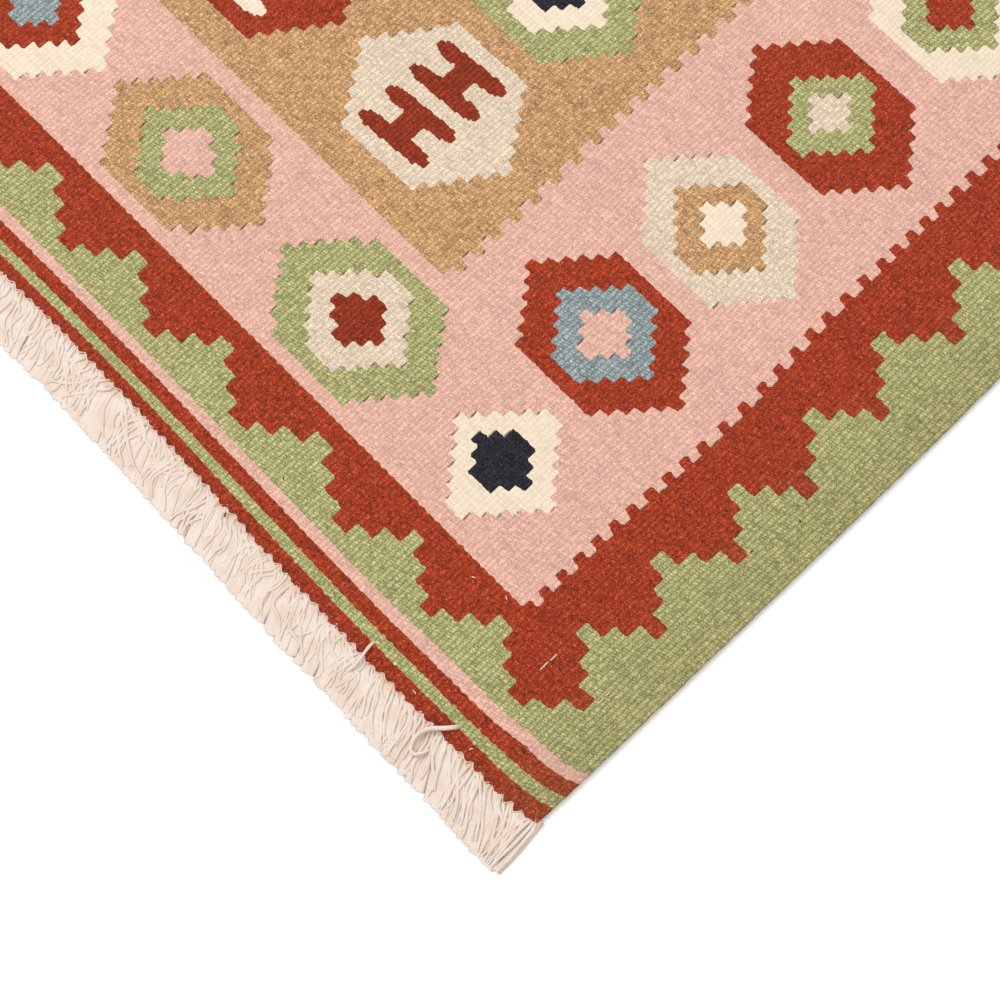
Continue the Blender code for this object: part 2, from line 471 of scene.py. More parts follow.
# The two ends are closed between each stretch of the back and the ribs above it.
for right, left in zip(back_lines[::-1], back_lines[::-1][1:]):
    first_stretch = right is back_lines[-1]
    last_stretch = left is back_lines[0]
    low = -1.0 if first_stretch else right["across"] - 1e-6
    high = 2.0 if last_stretch else left["across"] + 1e-6
    above = [ribbed for ribbed in face_lines if low <= ribbed["across"] <= high]
    yarn_near = chart[int(right["across"] / RIB), 0]
    near = [edge["first"] for edge in [left, right] + above]
    far = [edge["first"] + len(edge["at"]) - 1 for edge in [right, left] + above[::-1]]
    faces.append(near)
    faces.append(far)
    face_yarns += [yarn_near, yarn_near]

cloth_mesh = bpy.data.meshes.new("kilim_weave")
points = np.concatenate(points)
cloth_mesh.from_pydata(points.tolist(), [], faces)
cloth_mesh.polygons.foreach_set("use_smooth", np.array([len(face) <= 4 for face in faces]))
corner_points = np.empty(len(cloth_mesh.loops), np.int32)
cloth_mesh.loops.foreach_get("vertex_index", corner_points)
uv_layer = cloth_mesh.uv_layers.new(name="weave")
uv_layer.data.foreach_set("uv", np.concatenate(weave_uv)[corner_points].astype(np.float32).ravel())
for name, domain, values in (("yarn", "FACE", face_yarns), ("slit", "POINT", np.concatenate(slit_marks)),
                             ("valley", "POINT", np.concatenate(valley_marks))):
    cloth_mesh.attributes.new(name, "FLOAT", domain).data.foreach_set("value", np.array(values, np.float32))
cloth_mesh.validate()


NODE_PREFIXES = ("ShaderNode", "GeometryNode", "FunctionNode", "Node")


def add(tree, kind, inputs=(), output=0, **settings):
    """Adds one node, fills or links its inputs, and gives back one of its outputs.

    The kind of node stands without its prefix, and an operation may follow it. The inputs come in
    order or by name.
    """
    kind, *operation = kind.split()
    full_kind = next(prefix + kind for prefix in NODE_PREFIXES if hasattr(bpy.types, prefix + kind))
    node = tree.nodes.new(full_kind)
    if operation:
        settings["operation"] = operation[0]
    for name, value in settings.items():
        setattr(node, name, value)
    for key, value in inputs.items() if isinstance(inputs, dict) else enumerate(inputs):
        if isinstance(value, bpy.types.NodeSocket):
            tree.links.new(value, node.inputs[key])
        else:
            node.inputs[key].default_value = value
    return node.outputs[output] if len(node.outputs) else node


def new_shaping_tree(name, sizes):
    """A Geometry Nodes tree with a geometry input, named sizes and a geometry output."""
    tree = bpy.data.node_groups.new(name, "GeometryNodeTree")
    for label, kind in {"Geometry": "Geometry", **sizes}.items():
        tree.interface.new_socket(label, in_out="INPUT", socket_type="NodeSocket" + kind)
    tree.interface.new_socket("Geometry", in_out="OUTPUT", socket_type="NodeSocketGeometry")
    return tree, tree.nodes.new("NodeGroupInput").outputs


def shaped(name, base_mesh, tree, values):
    """The plain mesh that a tree makes from a base mesh, with its named inputs set."""
    source = bpy.data.objects.new(name + "_source", base_mesh)
    bpy.context.scene.collection.objects.link(source)
    modifier = source.modifiers.new(name, "NODES")
    modifier.node_group = tree
    for item in tree.interface.items_tree:
        if item.in_out == "INPUT" and item.name in values:
            modifier[item.identifier] = values[item.name]
    evaluated = source.evaluated_get(bpy.context.evaluated_depsgraph_get())
    mesh = bpy.data.meshes.new_from_object(evaluated)
    source.modifiers.remove(modifier)
    bpy.data.objects.remove(source)
    made = bpy.data.objects.new(name, mesh)
    bpy.context.scene.collection.objects.link(made)
    return made


def linear(hex_colour):
    """An sRGB hex colour as linear RGBA."""
    channels = [int(hex_colour[i:i + 2], 16) / 255 for i in (1, 3, 5)]
    return [c / 12.92 if c <= 0.04045 else ((c + 0.055) / 1.055) ** 2.4 for c in channels] + [1.0]


def new_material(name, values):
    """A material with values that are constant over its surface, its tree and its shader."""
    material = bpy.data.materials.new(name)
    material.use_nodes = True
    shader = material.node_tree.nodes["Principled BSDF"]
    for socket, value in values.items():
        shader.inputs[socket].default_value = value
    return material, material.node_tree, shader


# The colour of the shade painted into the open slits.
SLIT_PAINTED_SHADE = "#54331C"
# The dull brown that the wool is mixed towards near each selvedge, and the width of that band.
SELVEDGE_BROWN = "#80683C"
SELVEDGE_DARKENING_WIDTH = 60 * MM
ABRASH_WEIGHT = 0.14
STREAK_WEIGHT = 0.36
BEAD_WEIGHT = 0.14


def dyed_wool(yarn, shade, shadow, fibre, heather, speckle, patchy, ribs_show):
    """Hand-spun dyed wool, packed as wefts: dull, a little hairy and uneven in its dye."""
    material, tree, shader = new_material(yarn + "_dyed_wool", {
        "Roughness": 0.92, "Specular IOR Level": 0.15, "Sheen Weight": 0.06, "Sheen Roughness": 0.6})

    # Fibres 0.9 mm across and tangles of 2.4 mm, both drawn coarser than real ones so that they
    # show, broad changes of dye lot, and streaks where a weft is thicker or darker.
    place = add(tree, "TexCoord", output="Object")
    lots = add(tree, "Mapping", {"Vector": place, "Scale": (3.0, 26.0, 1.0)})
    streaks = add(tree, "Mapping", {"Vector": place, "Scale": (45.0, 600.0, 1.0)})
    fibres, tangle, abrash, streak = [
        add(tree, "TexNoise", {"Vector": at, "Scale": scale, "Detail": detail, "Roughness": rough})
        for at, scale, detail, rough in ((place, 1150.0, 3.0, 0.7), (place, 420.0, 2.0, 0.5),
                                         (lots, 1.0, 3.0, 0.5), (streaks, 1.0, 2.0, 0.5))]

    # Ribs and beads: each weft makes a bead on every second rib, and the ribs wander a little.
    uv = add(tree, "UVMap", uv_map="weave")
    ribs_in, picks_in = add(tree, "SeparateXYZ", [uv]).node.outputs[:2]
    across_ribs = add(tree, "Math SUBTRACT", [ribs_in, 0.25])
    across_ribs = add(tree, "Math MULTIPLY_ADD", [tangle, 0.5, across_ribs])
    rib_number = add(tree, "Math FLOOR", [across_ribs])
    across_rib = add(tree, "Math FRACT", [across_ribs])
    crest = add(tree, "Math SINE", [add(tree, "Math MULTIPLY", [across_rib, math.pi])])
    bead_place = add(tree, "Math ADD", [picks_in, rib_number])
    bead_place = add(tree, "Math MULTIPLY", [bead_place, 0.5])
    bead_place = add(tree, "Math MULTIPLY_ADD", [across_rib, 0.35, bead_place])
    along_bead = add(tree, "Math FRACT", [bead_place])
    bead = add(tree, "Math SINE", [add(tree, "Math MULTIPLY", [along_bead, math.pi])])
    bead_number = add(tree, "Math FLOOR", [bead_place])
    bead_seed = add(tree, "CombineXYZ", [rib_number, bead_number])
    bead_tone = add(tree, "TexWhiteNoise", {"Vector": bead_seed}, noise_dimensions="2D")

    # Shade is painted in broken dashes in the valleys, between the beads and in the open slits.
    painted_hollow_shade = add(tree, "MapRange", [fibres, 0.45, 0.33, 0.0, 0.6 * ribs_show])
    dash = add(tree, "MapRange", [fibres, 0.42, 0.62])
    for top, sharpness, broken_by, depth in ((crest, 1.8, dash, 1.2), (bead, 2.0, tangle, 0.8)):
        low = add(tree, "Math POWER", [add(tree, "Math SUBTRACT", [1.0, top]), sharpness])
        low = add(tree, "Math MULTIPLY", [low, broken_by])
        painted_hollow_shade = add(tree, "Math MULTIPLY_ADD", [low, depth * ribs_show, painted_hollow_shade])
    slit = add(tree, "Attribute", output="Fac", attribute_name="slit")
    slit = add(tree, "Math MULTIPLY_ADD", [tangle, 0.6, slit])
    slit = add(tree, "MapRange", [slit, 0.6, 1.05, 0.0, 0.8])

    # The odd paler fibre shows in the yarn, every bead is a little lighter or darker than the
    # next, and the wool is mixed towards a dull brown over the last 60 mm to each selvedge.
    fleck = add(tree, "MapRange", [fibres, 0.54, 0.74, 0.0, heather])
    weights = ((bead_tone, BEAD_WEIGHT * speckle), (fibres, speckle), (tangle, patchy),
               (abrash, ABRASH_WEIGHT), (streak, STREAK_WEIGHT))
    level = 1 - sum(weight for _, weight in weights) / 2
    for unevenness, weight in weights:
        level = add(tree, "Math MULTIPLY_ADD", [unevenness, weight, level])
    from_middle = add(tree, "Math ABSOLUTE", [add(tree, "SeparateXYZ", [place])])
    selvedge = CLOTH_WIDTH / 2
    selvedge_darkening = add(tree, "MapRange", [from_middle, selvedge - SELVEDGE_DARKENING_WIDTH, selvedge, 0.0, 0.22],
                  interpolation_type="SMOOTHSTEP")
    tone = linear(shade)
    for share, colour in ((fleck, fibre), (selvedge_darkening, SELVEDGE_BROWN), (painted_hollow_shade, shadow), (slit, SLIT_PAINTED_SHADE)):
        if colour == shadow:
            tone = add(tree, "VectorMath SCALE", {0: tone, 3: level})
        tone = add(tree, "Mix", {0: share, 6: tone, 7: linear(colour)}, 2, data_type="RGBA")
    tree.links.new(tone, shader.inputs["Base Color"])

    relief = add(tree, "Math MULTIPLY_ADD", [bead, 0.7, 0.3])
    relief = add(tree, "Math MULTIPLY", [crest, relief])
    relief = add(tree, "Math MULTIPLY_ADD", [fibres, 0.9, relief])
    bump = add(tree, "Bump", {"Height": relief, "Strength": 0.7, "Distance": 0.3 * MM})
    tree.links.new(bump, shader.inputs["Normal"])
    return material


# For each yarn, its main shade, the painted shade in its hollows, its palest fibres and how many there
# are, how speckled and how patchy it is, and how plainly its ribs and beads show.
WOOLS = {
    "pink": ("#DFB09F", "#8A5440", "#F4D2C2", 0.6, 1.5, 0.26, 0.5),
    "red": ("#9F3518", "#3A0E07", "#CF7558", 0.7, 2.6, 1.4, 0.6),
    "green": ("#AFAC74", "#474520", "#D9DAAB", 0.7, 2.6, 0.55, 0.85),
    "camel": ("#C4986A", "#583A1E", "#E6C69A", 0.6, 3.0, 0.5, 0.62),
    "ecru": ("#DFCCB4", "#86694A", "#F6EBD6", 0.5, 1.6, 0.3, 0.55),
    "cream": ("#EBD9C1", "#B2966F", "#FBF0E0", 0.4, 0.55, 0.13, 0.35),
    "blue": ("#939D9E", "#3A4346", "#CBD3D0", 0.8, 2.5, 0.5, 0.85),
    "navy": ("#232128", "#101014", "#56545A", 0.6, 3.4, 0.9, 0.5),
    "madder": ("#923115", "#360C06", "#B9634A", 0.6, 2.2, 0.9, 0.8),
}
VALLEY_DEPTH = 0.28 * MM
SLIT_DEPTH = 0.4 * MM

# The valleys between the ribs are drawn down by a fixed depth, and deeper at the open slits. Then
# each block takes the wool of its yarn.
ribbing, given = new_shaping_tree(
    "ribbing", {"Valley depth": "Float", "Slit depth": "Float", **{yarn: "Material" for yarn in YARNS}})
here = {name: add(ribbing, "InputNamedAttribute", {"Name": name})
        for name in ("valley", "slit", "yarn")}
drop = add(ribbing, "Math MULTIPLY", [here["valley"], given["Valley depth"]])
drop = add(ribbing, "Math MULTIPLY_ADD", [here["slit"], given["Slit depth"], drop])
downwards = add(ribbing, "CombineXYZ", {"Z": add(ribbing, "Math MULTIPLY", [drop, -1.0])})
ribbed = add(ribbing, "SetPosition", {"Geometry": given["Geometry"], "Offset": downwards})
ribbed = add(ribbing, "RealizeInstances", [ribbed])
ribbed = add(ribbing, "SetMaterial", {"Geometry": ribbed, "Material": given[YARNS[0]]})
for yarn_number, yarn in enumerate(YARNS[1:], start=1):
    in_yarn = add(ribbing, "Compare EQUAL", {0: here["yarn"], 1: float(yarn_number), "Epsilon": 0.1})
    ribbed = add(ribbing, "SetMaterial", {"Geometry": ribbed, "Selection": in_yarn, "Material": given[yarn]})
add(ribbing, "GroupOutput", [ribbed])
wools = {yarn: dyed_wool(yarn, *WOOLS[yarn]) for yarn in YARNS}
cloth = shaped("kilim_weave", cloth_mesh, ribbing,
               {"Valley depth": VALLEY_DEPTH, "Slit depth": SLIT_DEPTH, **wools})
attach(cloth, "root")
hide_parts("kilim_cloth")

# ---- Fringes -------------------------------------------------------------------------------------
# The undyed cotton warps, drawn out at both ends, bunched into 126 tufts and cut off even. Each
# tuft leaves the last weft as a rounded bundle of two-ply yarns, and fans out loose on the floor.
# Near the corners they lie straight, then combed over, and further on they curl.
YARNS_PER_TUFT = 7
YARN_DIAMETER = 2.1 * MM
YARN_STEPS = 15
YARN_SIDES = 6
BUNDLE_WIDTH = 5.6 * MM
LAP_WIDTH = 5.4 * MM
LAP_HEIGHT = 1.2 * MM
YARN_FLATTENED = 0.68
TWIST_PITCH = 5.0 * MM

fraying, given = new_shaping_tree("fraying", {
    "Yarns per tuft": "Int", "Steps": "Int", "Sides": "Int", "Yarn radius": "Float",
    "Bundle width": "Float", "Lap width": "Float", "Lap height": "Float", "Flattened": "Float",
    "Seed": "Int", "Yarn material": "Material"})
has = {name: add(fraying, "InputNamedAttribute", {"Name": name})
       for name in ("lean", "curl", "reach", "relief", "tuft", "spread", "number", "upper", "layer", "cut",
                    "middle", "sunk")}

# Every second yarn of a tuft is a flat lap of loose fibre on the floor, and the others lie on top.
yarn_points = add(fraying, "DuplicateElements",
                  {"Geometry": given["Geometry"], "Amount": given["Yarns per tuft"]}, domain="POINT")
in_tuft = yarn_points.node.outputs["Duplicate Index"]
spread = add(fraying, "Math DIVIDE", [add(fraying, "Math ADD", [in_tuft, 0.5]), given["Yarns per tuft"]])
upper = add(fraying, "Math MODULO", [in_tuft, 2.0])
upper = add(fraying, "Math SUBTRACT", [1.0, upper])
layer = add(fraying, "RandomValue", {"Seed": given["Seed"]}, 1)
next_seed = add(fraying, "Math ADD", [given["Seed"], 1.0])
shorter = add(fraying, "RandomValue", {"Seed": next_seed}, 1)
lap_cut = add(fraying, "Math MULTIPLY_ADD", [shorter, 0.05, 1.045])
upper_cut = add(fraying, "Math MULTIPLY", [shorter, has["curl"]])
upper_cut = add(fraying, "Math MULTIPLY_ADD", [upper_cut, -0.55, 1.06])
cut = add(fraying, "Mix", {0: upper, 2: lap_cut, 3: upper_cut})
for name, value, kind in (
        ("spread", spread, "FLOAT"), ("number", add(fraying, "InputIndex"), "FLOAT"),
        ("upper", upper, "FLOAT"), ("root", add(fraying, "InputPosition"), "FLOAT_VECTOR"),
        ("layer", layer, "FLOAT"), ("cut", cut, "FLOAT")):
    yarn_points = add(fraying, "StoreNamedAttribute",
                      {"Geometry": yarn_points, "Name": name, "Value": value}, data_type=kind)
straight = add(fraying, "CurvePrimitiveLine", {"End": (0.0, -0.03, 0.0)})
straight = add(fraying, "ResampleCurve", {"Curve": straight, "Count": given["Steps"]})
yarn_lines = add(fraying, "InstanceOnPoints", {"Points": yarn_points, "Instance": straight})
yarn_lines = add(fraying, "RealizeInstances", [yarn_lines])

# Each yarn turns its heading as it goes, with the tufts about it and a little on its own.
down_yarn = add(fraying, "SplineParameter")


def wander(tree, seat, pace):
    """A smooth random turn between about -1 and 1 that follows the yarn."""
    at = add(tree, "CombineXYZ", [seat, add(tree, "Math MULTIPLY", [down_yarn, pace])])
    turn = add(tree, "TexNoise", {"Vector": at, "Scale": 1.0, "Detail": 1.0}, noise_dimensions="2D")
    return add(tree, "Math MULTIPLY_ADD", [turn, 4.0, -2.0])


side = add(fraying, "Math MULTIPLY_ADD", [has["spread"], 2.0, -1.0])
curl = add(fraying, "Math MULTIPLY_ADD", [has["upper"], 0.88, 0.12])
curl = add(fraying, "Math MULTIPLY", [has["curl"], curl])
tuft_seat = add(fraying, "Math MULTIPLY", [has["tuft"], 0.55])
yarn_seat = add(fraying, "Math MULTIPLY_ADD", [has["number"], 7.31, given["Seed"]])
on_its_own = add(fraying, "Math MULTIPLY_ADD", [curl, 0.65, 0.04])
fanned = add(fraying, "Math MULTIPLY_ADD", [down_yarn, -0.2, 0.2])
heading = has["lean"]
for turn, share in ((wander(fraying, tuft_seat, 1.3), curl), (wander(fraying, yarn_seat, 2.1), on_its_own),
                    (side, fanned)):
    heading = add(fraying, "Math MULTIPLY_ADD", [turn, share, heading])
step = add(fraying, "CombineXYZ", [
    add(fraying, "Math SINE", [heading]), add(fraying, "Math COSINE", [heading])])
walked = add(fraying, "AccumulateField", {"Value": step, "Group ID": has["number"]},
             data_type="FLOAT_VECTOR").node.outputs
so_far = add(fraying, "SeparateXYZ", [walked["Trailing"]]).node.outputs
in_all = add(fraying, "SeparateXYZ", [walked["Total"]], "Y")
last_step = add(fraying, "Math DIVIDE", [-1.0, given["Steps"]])
in_all = add(fraying, "Math MULTIPLY_ADD", [in_all, last_step, in_all])
in_all = add(fraying, "Math MAXIMUM", [in_all, 6.0])
reach = add(fraying, "Math MULTIPLY", [has["reach"], has["cut"]])
stride = add(fraying, "Math DIVIDE", [reach, in_all])

# The upper yarns leave the weave close together and spread out; the lower ones lie even at once.
gathered = add(fraying, "MapRange", [down_yarn, 0.0, 0.2, 0.35, 1.15], interpolation_type="SMOOTHSTEP")
gathered = add(fraying, "Mix", {0: has["upper"], 2: 1.5, 3: gathered})
sideways = add(fraying, "Math MULTIPLY", [side, gathered])
half_bundle = add(fraying, "Math MULTIPLY", [given["Bundle width"], 0.5])
sideways = add(fraying, "Math MULTIPLY", [sideways, half_bundle])
sideways = add(fraying, "Math MULTIPLY_ADD", [so_far["X"], stride, sideways])
outwards = add(fraying, "Math MULTIPLY", [so_far["Y"], stride])
outwards = add(fraying, "Math MULTIPLY", [outwards, -1.0])

# A bundle rises over the edge of the cloth and then sinks, with its yarns one on another.
bulge = add(fraying, "MapRange", [down_yarn, 0.0, 0.14, 0.0, 1.0], interpolation_type="SMOOTHSTEP")
pile = add(fraying, "Math MULTIPLY_ADD", [down_yarn, -0.6 * MM, 0.6 * MM])
pile = add(fraying, "Math MULTIPLY_ADD", [has["layer"], has["relief"], pile])
pile = add(fraying, "Math MULTIPLY", [pile, bulge])
pile = add(fraying, "Math MULTIPLY", [pile, has["upper"]])
sunk = add(fraying, "MapRange", [down_yarn, 0.4, 1.0, 1.0, 0.5])
lap_rests = add(fraying, "Math MULTIPLY", [given["Lap height"], 0.5])
lap_rests = add(fraying, "Math MULTIPLY_ADD", [has["layer"], 0.25 * MM, lap_rests])
lap_rests = add(fraying, "Math MULTIPLY", [lap_rests, sunk])
yarn_rests = add(fraying, "Math ADD", [given["Flattened"], 0.05])
yarn_rests = add(fraying, "Math MULTIPLY", [given["Yarn radius"], yarn_rests])
height = add(fraying, "Mix", {0: has["upper"], 2: lap_rests, 3: yarn_rests})
height = add(fraying, "Math ADD", [pile, height])
over_edge = add(fraying, "Math MULTIPLY_ADD", [bulge, -0.5 * MM, 0.5 * MM])
height = add(fraying, "Math ADD", [height, over_edge])
path = add(fraying, "CombineXYZ", [sideways, outwards, height])
root = add(fraying, "InputNamedAttribute", {"Name": "root"}, data_type="FLOAT_VECTOR")
path = add(fraying, "VectorMath ADD", [root, path])
yarn_lines = add(fraying, "SetPosition", {"Geometry": yarn_lines, "Position": path})


def spun(tree, curves, sides, radius, thickness, **more_marks):
    """Yarn round a curve, with the distance along it and the turn about it kept for its plies."""
    marks = {"down_yarn": add(tree, "SplineParameter", output="Length"), **more_marks}
    for name, value in marks.items():
        curves = add(tree, "StoreNamedAttribute", {"Geometry": curves, "Name": name, "Value": value})
    ring = add(tree, "CurvePrimitiveCircle", {"Resolution": sides, "Radius": radius})
    turn = add(tree, "SplineParameter")
    turn = add(tree, "Math MULTIPLY", [turn, 2 * math.pi])
    for name, operation in (("turn_sine", "SINE"), ("turn_cosine", "COSINE")):
        part = add(tree, "Math " + operation, [turn])
        ring = add(tree, "StoreNamedAttribute", {"Geometry": ring, "Name": name, "Value": part})
    yarns = add(tree, "CurveToMesh",
                {"Curve": curves, "Profile Curve": ring, "Scale": thickness, "Fill Caps": True})
    return add(tree, "SetShadeSmooth", [yarns])


thickness = add(fraying, "MapRange", [down_yarn, 0.7, 1.0, 1.0, 0.5])
yarn_width = add(fraying, "Math MULTIPLY", [given["Yarn radius"], 2.0])
lap_share = add(fraying, "Math DIVIDE", [given["Lap width"], yarn_width])
thickness = add(fraying, "Mix", {0: has["upper"], 2: lap_share, 3: thickness})
tubes = spun(fraying, yarn_lines, given["Sides"], given["Yarn radius"], thickness, middle=height, sunk=sunk)

# The laps, and the yarns a little, are pressed flat about their middles.
flatness = add(fraying, "Math DIVIDE", [given["Lap height"], given["Lap width"]])
flatness = add(fraying, "Math MULTIPLY", [flatness, has["sunk"]])
flatness = add(fraying, "Mix", {0: has["upper"], 2: flatness, 3: given["Flattened"]})
flatness = add(fraying, "Math SUBTRACT", [flatness, 1.0])
at = add(fraying, "SeparateXYZ", [add(fraying, "InputPosition")], "Z")
above_middle = add(fraying, "Math SUBTRACT", [at, has["middle"]])
pressed = add(fraying, "Math MULTIPLY", [above_middle, flatness])
pressed = add(fraying, "CombineXYZ", {"Z": pressed})
tubes = add(fraying, "SetPosition", {"Geometry": tubes, "Offset": pressed})
tubes = add(fraying, "RealizeInstances", [tubes])
tubes = add(fraying, "SetMaterial", {"Geometry": tubes, "Material": given["Yarn material"]})
add(fraying, "GroupOutput", [tubes])

# Undyed cotton: ivory, dull and soft, with its two plies showing as fine slanting lines and painted
# shade in the grooves between them. Over the first 7 mm of the warps the ivory is painted darker and pinker,
# for the shade where the tufts gather at the weave and the red light the weave throws onto them.
ROOT_TINT_LENGTH = 7 * MM
cotton, cotton_tree, cotton_shader = new_material("undyed_warp_cotton", {
    "Roughness": 0.85, "Specular IOR Level": 0.25, "Sheen Weight": 0.15})
place = add(cotton_tree, "TexCoord", output="Object")
lint = add(cotton_tree, "TexNoise", {"Vector": place, "Scale": 900.0, "Detail": 3.0})
bundle = add(cotton_tree, "TexNoise", {"Vector": place, "Scale": 90.0, "Detail": 2.0})
bundle = add(cotton_tree, "MapRange", [bundle, 0.35, 0.65])
turn_sine, turn_cosine, down = [add(cotton_tree, "Attribute", output="Fac", attribute_name=part)
                                for part in ("turn_sine", "turn_cosine", "down_yarn")]
ply = add(cotton_tree, "Math ARCTAN2", [turn_sine, turn_cosine])
ply = add(cotton_tree, "Math MULTIPLY_ADD", [down, 2 * math.pi / TWIST_PITCH, ply])
ply = add(cotton_tree, "Math SINE", [ply])
ply = add(cotton_tree, "Math ABSOLUTE", [ply])
# Painted shade in the grooves between the two plies.
ply_groove_shade = add(cotton_tree, "MapRange", [ply, 0.0, 0.45, 0.4, 0.0])
# Painted shade and painted red reflection at the roots of the warps.
root_shade_and_reflected_red = add(cotton_tree, "MapRange", [down, 0.0, ROOT_TINT_LENGTH, 0.75, 0.0])
ivory = linear("#E0CBBB")
for share, colour in ((bundle, "#E7D9CE"), (ply_groove_shade, "#E0C7B2"), (root_shade_and_reflected_red, "#CFA68F")):
    ivory = add(cotton_tree, "Mix", {0: share, 6: ivory, 7: linear(colour)}, 2, data_type="RGBA")
cotton_tree.links.new(ivory, cotton_shader.inputs["Base Color"])
relief = add(cotton_tree, "Math MULTIPLY_ADD", [lint, 0.6, ply])
bump = add(cotton_tree, "Bump", {"Height": relief, "Strength": 0.32, "Distance": 0.25 * MM})
cotton_tree.links.new(bump, cotton_shader.inputs["Normal"])


def tuft_roots(seed):
    """The points where the tufts leave the near end, with how each one lies."""
    root_chance = np.random.default_rng(seed)
    distance = (np.arange(TUFTS_PER_END) + 0.5) * CLOTH_WIDTH / TUFTS_PER_END
    distance = distance + root_chance.uniform(-0.8, 0.8, TUFTS_PER_END) * MM
    x, y = on_floor(distance, root_chance.uniform(1.2, 2.2, TUFTS_PER_END) * MM, 0.0)[:2]
    mesh = bpy.data.meshes.new("tuft_roots")
    mesh.from_pydata([(a, b, 0.0) for a, b in zip(x, y)], [], [])
    millimetres = distance / MM
    from_far_side = eased(WIDTH_MM - millimetres, 2, 60)
    near_corner = eased(millimetres, 2, 22) * from_far_side
    to_corner = np.arctan(np.maximum(millimetres - 7, 0) / 40)
    combed = np.minimum(0.42 + 0.24 * np.exp(-((millimetres - 26) / 22) ** 2), to_corner) * from_far_side
    loose = eased(millimetres, 70, 170)
    ways = {
        "lean": combed + root_chance.uniform(-0.13, 0.13, TUFTS_PER_END) * near_corner,
        "curl": near_corner * (0.38 + 0.42 * loose),
        "reach": (29.2 + 5.0 * np.exp(-millimetres / 55)) * MM,
        "relief": (0.45 + 0.75 * np.exp(-(millimetres / 70) ** 2)) * MM,
        "tuft": np.arange(TUFTS_PER_END) + 10.0 * seed,
    }
    for way, amounts in ways.items():
        mesh.attributes.new(way, "FLOAT", "POINT").data.foreach_set("value", amounts.astype(np.float32))
    return mesh


for node, seed, turn in (("fringe_near", 11, 0.0), ("fringe_far", 23, math.pi)):
    fringe = shaped(node + "_yarns", tuft_roots(seed), fraying, {
        "Yarns per tuft": YARNS_PER_TUFT, "Steps": YARN_STEPS, "Sides": YARN_SIDES,
        "Yarn radius": YARN_DIAMETER / 2, "Bundle width": BUNDLE_WIDTH, "Lap width": LAP_WIDTH,
        "Lap height": LAP_HEIGHT, "Flattened": YARN_FLATTENED, "Seed": seed, "Yarn material": cotton})
    fringe.data.transform(Matrix.Rotation(turn, 4, "Z"))
    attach(fringe, "root")
    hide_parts(node)

# ---- Loose ends ----------------------------------------------------------------------------------
# A pale cotton pick twines between the tufts and closes each end of the weave. Two cotton warp ends
# have worked loose over the red stripe, four white cotton tacking stitches are sewn in the corner,
# and clippings of dark wool and pale lint lie in the weave. All are laid along a path of points.
laying, given = new_shaping_tree("laying", {
    "Radius": "Float", "Steps": "Int", "Sides": "Int", "End thickness": "Float", "Yarn material": "Material"})
path_curve = add(laying, "MeshToCurve", {"Mesh": given["Geometry"]})
path_curve = add(laying, "CurveSplineType", {"Curve": path_curve}, spline_type="CATMULL_ROM")
path_curve = add(laying, "ResampleCurve", {"Curve": path_curve, "Count": given["Steps"]})
along_path = add(laying, "SplineParameter")
tapered = add(laying, "MapRange", [along_path, 0.3, 1.0, 1.0, given["End thickness"]])
laid = spun(laying, path_curve, given["Sides"], given["Radius"], tapered)
laid = add(laying, "RealizeInstances", [laid])
laid = add(laying, "SetMaterial", {"Geometry": laid, "Material": given["Yarn material"]})
add(laying, "GroupOutput", [laid])


def lay_yarn(name, stops, diameter, steps, material=cotton, sides=7, end_thickness=0.65):
    """Lays a yarn through stops given as millimetres across, along and above the floor."""
    path = np.stack(on_floor(*(np.array(stops, float).T * MM)), axis=1)
    path_mesh = bpy.data.meshes.new(name + "_path")
    path_mesh.from_pydata(path.tolist(), [(i, i + 1) for i in range(len(path) - 1)], [])
    yarn = shaped(name, path_mesh, laying, {
        "Radius": diameter * MM / 2, "Steps": steps, "Sides": sides, "End thickness": end_thickness,
        "Yarn material": material})
    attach(yarn, "root")
    return yarn


LOOSE_END_LONG = [
    (69.6, 8.6, 1.8), (70.6, 7.0, 3.6), (73.0, 4.2, 4.4), (76.2, 1.0, 4.6), (79.4, -2.2, 4.7),
    (81.4, -6.0, 4.5), (82.0, -10.0, 4.3), (81.2, -13.6, 4.1), (78.8, -16.6, 4.0), (75.6, -16.6, 3.8),
    (73.2, -13.6, 3.4), (72.0, -10.4, 2.4)]
LOOSE_END_SHORT = [
    (136.2, 8.6, 1.8), (136.2, 7.4, 3.4), (136.0, 4.5, 4.2), (135.4, 1.0, 4.4), (134.6, -2.5, 4.4),
    (134.0, -6.0, 4.2), (134.0, -9.0, 3.3), (134.6, -12.0, 2.4)]
small_pieces = [
    lay_yarn("loose_warp_long", LOOSE_END_LONG, 2.7, 48),
    lay_yarn("loose_warp_short", LOOSE_END_SHORT, 1.9, 30),
]
TACKING = ((60.6, 75.2, 69.8), (60.9, 68.4, 62.4), (25.3, 79.4, 75.6), (25.1, 73.6, 70.0))
for number, (stitch_across, stitch_from, stitch_to) in enumerate(TACKING):
    middle = (stitch_from + stitch_to) / 2
    stitch = [(stitch_across, stitch_from, 2.3), (stitch_across + 0.1, stitch_from - 0.6, 3.1),
              (stitch_across - 0.1, middle, 3.5), (stitch_across, stitch_to + 0.6, 3.1),
              (stitch_across, stitch_to, 2.3)]
    small_pieces.append(lay_yarn(f"tacking_stitch_{number + 1}", stitch, 0.9, 12))

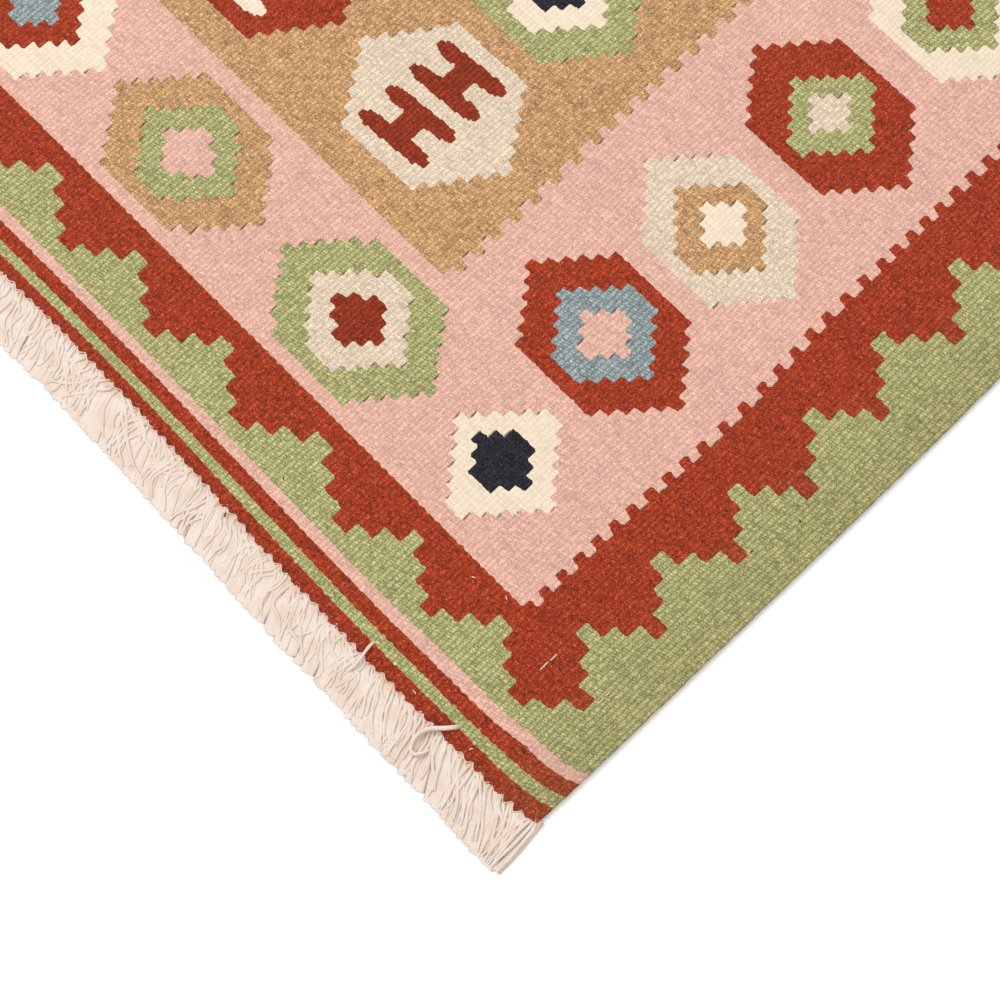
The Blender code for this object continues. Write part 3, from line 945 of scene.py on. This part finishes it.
# Each clipping has its place across and along, its length, its turn in degrees and how high it lies.
CLIPPINGS = {
    "navy": [(247.5, -4.0, 2.6, 70, 3.2), (22.0, 227.0, 1.5, 20, 2.9), (28.0, 195.0, 1.6, 80, 2.9),
             (240.5, 36.0, 1.4, 40, 2.9)],
    "cream": [(103.0, 78.0, 2.0, 30, 2.9), (124.0, 73.0, 1.8, 150, 2.9), (16.5, 12.6, 2.2, 20, 2.9),
              (8.5, 10.6, 1.8, 60, 2.9), (56.0, 5.0, 1.8, 120, 2.9), (100.5, 5.0, 2.4, 10, 2.9)],
}
for clipping_yarn, clippings in CLIPPINGS.items():
    for number, (middle_across, middle_along, clipping_length, turned, high) in enumerate(clippings):
        half_across = clipping_length / 2 * math.cos(math.radians(turned))
        half_along = clipping_length / 2 * math.sin(math.radians(turned))
        clipping = [(middle_across - half_across, middle_along - half_along, high - 0.2),
                    (middle_across + 0.2, middle_along, high + 0.25),
                    (middle_across + half_across, middle_along + half_along, high - 0.2)]
        small_pieces.append(lay_yarn(f"{clipping_yarn}_clipping_{number + 1}", clipping, 0.85, 6,
                                     wools[clipping_yarn], sides=5))

# The twining pick follows the teeth of the weave from selvedge to selvedge.
PICK_STOPS_PER_TUFT = 5
PICK_STEPS = 1300
for end in ("near", "far"):
    pick_across = np.linspace(1, WIDTH_MM - 1, TUFTS_PER_END * PICK_STOPS_PER_TUFT)
    pick_along = -end_sag(pick_across * MM) / MM - 0.1 + chance.uniform(-0.2, 0.2, len(pick_across))
    if end == "far":
        pick_along = LENGTH_MM - pick_along
    pick_height = 2.3 + chance.uniform(-0.2, 0.2, len(pick_across))
    pick_stops = np.stack([pick_across, pick_along, pick_height], axis=1)
    small_pieces.append(lay_yarn(f"twining_pick_{end}", pick_stops, 0.9, PICK_STEPS, sides=5,
                                 end_thickness=1.0))

# ---- Floor, light and camera ---------------------------------------------------------------------
# A plain white studio paper lies under the rug, with a large soft light at one side. The camera
# stands 1.13 m from a point of the rug near its corner and looks down steeply.
FLOOR_REACH = 6.0
FLOOR_LEVEL = -0.3 * MM
corners = [(x * FLOOR_REACH, y * FLOOR_REACH, FLOOR_LEVEL) for x, y in ((-1, -1), (1, -1), (1, 1), (-1, 1))]
floor_mesh = bpy.data.meshes.new("floor")
floor_mesh.from_pydata(corners, [], [(0, 1, 2, 3)])
floor_mesh.materials.append(new_material("white_studio_paper", {
    "Base Color": linear("#FAF8F6"), "Roughness": 1.0, "Specular IOR Level": 0.0})[0])
floor = bpy.data.objects.new("floor", floor_mesh)
bpy.context.scene.collection.objects.link(floor)

world = bpy.data.worlds.new("studio")
world.use_nodes = True
world.node_tree.nodes["Background"].inputs["Color"].default_value = linear("#FFFFFF")
world.node_tree.nodes["Background"].inputs["Strength"].default_value = 0.85

light_data = bpy.data.lights.new("soft_box", "AREA")
light_data.shape = "SQUARE"
light_data.size = 2.5
light_data.energy = 110.0
light = bpy.data.objects.new("soft_box", light_data)
light.location = (-2.8, -0.64, 3.6)
light_aim = Vector((0.35, -0.6, 0)) - light.location
light.rotation_euler = light_aim.to_track_quat("-Z", "Y").to_euler()

LOOK_ACROSS = 145.7 * MM
LOOK_ALONG = 114.8 * MM
CAMERA_DISTANCE = 1.128
CAMERA_ELEVATION = math.radians(75)
IMAGE_UP = Vector((-0.7152, 0.6989, 0.0)).normalized()
look_at = Vector((CLOTH_WIDTH / 2 - LOOK_ACROSS, -CLOTH_LENGTH / 2 + LOOK_ALONG, CLOTH_THICKNESS))
back = -IMAGE_UP * math.cos(CAMERA_ELEVATION) + Vector((0, 0, 1)) * math.sin(CAMERA_ELEVATION)
camera_data = bpy.data.cameras.new("camera")
camera_data.lens = 72
camera_data.sensor_width = 36
camera = bpy.data.objects.new("camera", camera_data)
camera.location = look_at + back * CAMERA_DISTANCE
camera.rotation_euler = back.to_track_quat("Z", "Y").to_euler()

for staged in (light, camera):
    bpy.context.scene.collection.objects.link(staged)
bpy.context.scene.world = world
bpy.context.scene.camera = camera
bpy.context.scene.view_settings.view_transform = "Standard"
